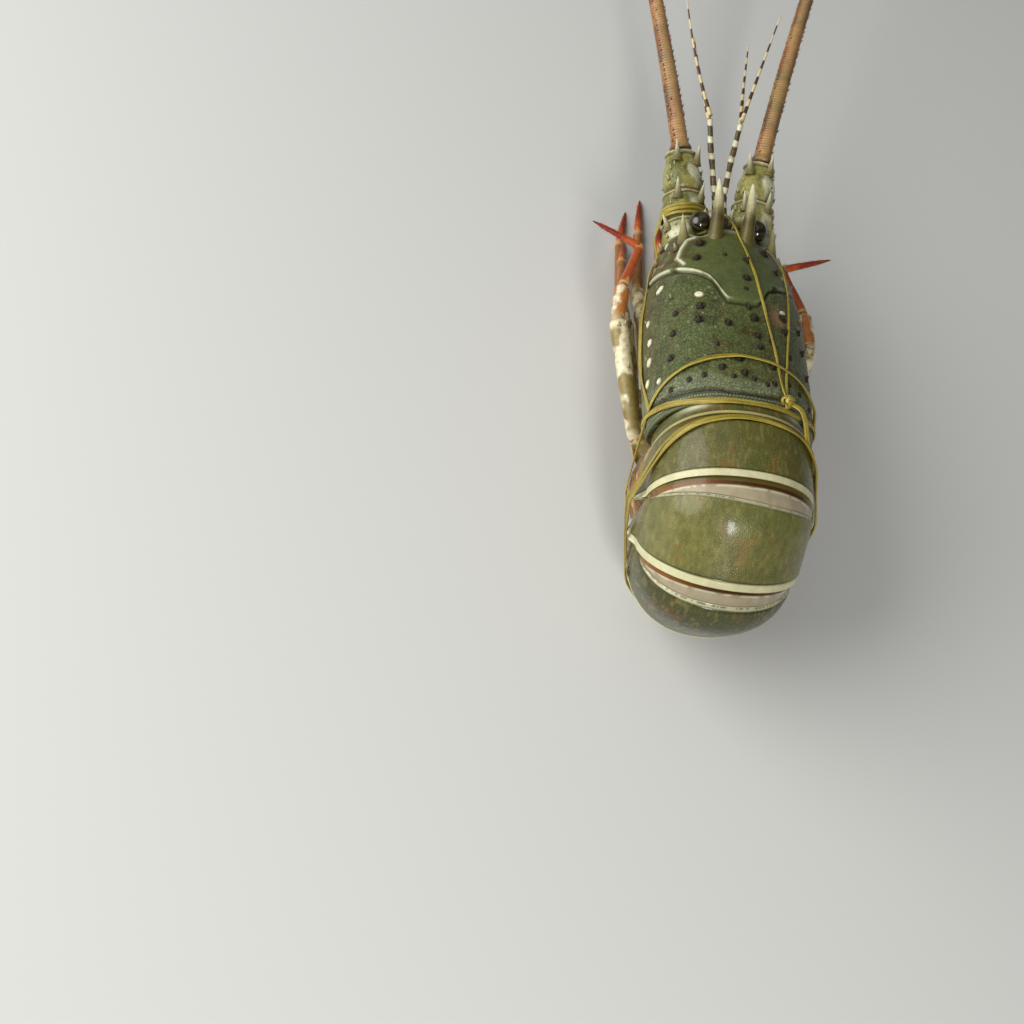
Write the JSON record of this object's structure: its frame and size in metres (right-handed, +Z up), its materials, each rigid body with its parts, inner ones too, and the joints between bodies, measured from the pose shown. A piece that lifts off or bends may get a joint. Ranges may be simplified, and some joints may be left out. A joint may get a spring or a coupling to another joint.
{
  "type": "spiny lobster",
  "caption": "Life-size still model of a spiny lobster with its tail curled under, feelers swept forward and legs folded, bound with twine, for display or as set dressing.",
  "frame": {"origin": "centre of the small flat under the sixth tail segment, on the floor", "axes": "+Z up, -Y along the back from tail to head and feelers, +X to the animal's left"},
  "size_m": [0.2146, 0.5338, 0.1016],
  "materials": {
    "shell": "wet olive-green shell with fine pale granules and cream hind edges",
    "leg": "olive and orange-brown leg shell with cream blotches",
    "horn": "cream-tipped horn over the eye",
    "eye": "dark glossy eye on a striped stalk",
    "whip": "orange-brown ringed feeler",
    "belly": "pale yellowish underside",
    "fan": "brown tail fan with pale ribs",
    "twine": "yellow raffia twine"
  },
  "bodies": {
    "root": {"abdomen_1": "shell", "abdomen_2": "shell", "abdomen_3": "shell", "abdomen_4": "shell", "abdomen_5": "shell", "abdomen_6": "shell", "antenna_flagellum_l": "whip", "antenna_flagellum_r": "whip", "antenna_stem_1_l": "leg", "antenna_stem_1_r": "leg", "antenna_stem_2_l": "leg", "antenna_stem_2_r": "leg", "antenna_stem_3_l": "leg", "antenna_stem_3_r": "leg", "antennular_plate": "shell", "antennule_flagellum_inner_l": "whip", "antennule_flagellum_inner_r": "whip", "antennule_flagellum_outer_l": "whip", "antennule_flagellum_outer_r": "whip", "antennule_l": "leg", "antennule_r": "leg", "carapace": "shell", "eye_l": "eye", "eye_r": "eye", "frontal_horn_l": "horn", "frontal_horn_r": "horn", "leg_1_lower_l": "leg", "leg_1_lower_r": "leg", "leg_1_upper_l": "leg", "leg_1_upper_r": "leg", "leg_2_lower_l": "leg", "leg_2_lower_r": "leg", "leg_2_upper_l": "leg", "leg_2_upper_r": "leg", "leg_3_lower_l": "leg", "leg_3_lower_r": "leg", "leg_3_upper_l": "leg", "leg_3_upper_r": "leg", "leg_4_lower_l": "leg", "leg_4_lower_r": "leg", "leg_4_upper_l": "leg", "leg_4_upper_r": "leg", "leg_5_lower_l": "leg", "leg_5_lower_r": "leg", "leg_5_upper_l": "leg", "leg_5_upper_r": "leg", "maxilliped_l": "leg", "maxilliped_r": "leg", "mouthparts": "belly", "sternum": "belly", "telson": "fan", "twine": "twine", "uropod_endopod_l": "fan", "uropod_endopod_r": "fan", "uropod_exopod_l": "fan", "uropod_exopod_r": "fan"}
  },
  "joints": []
}
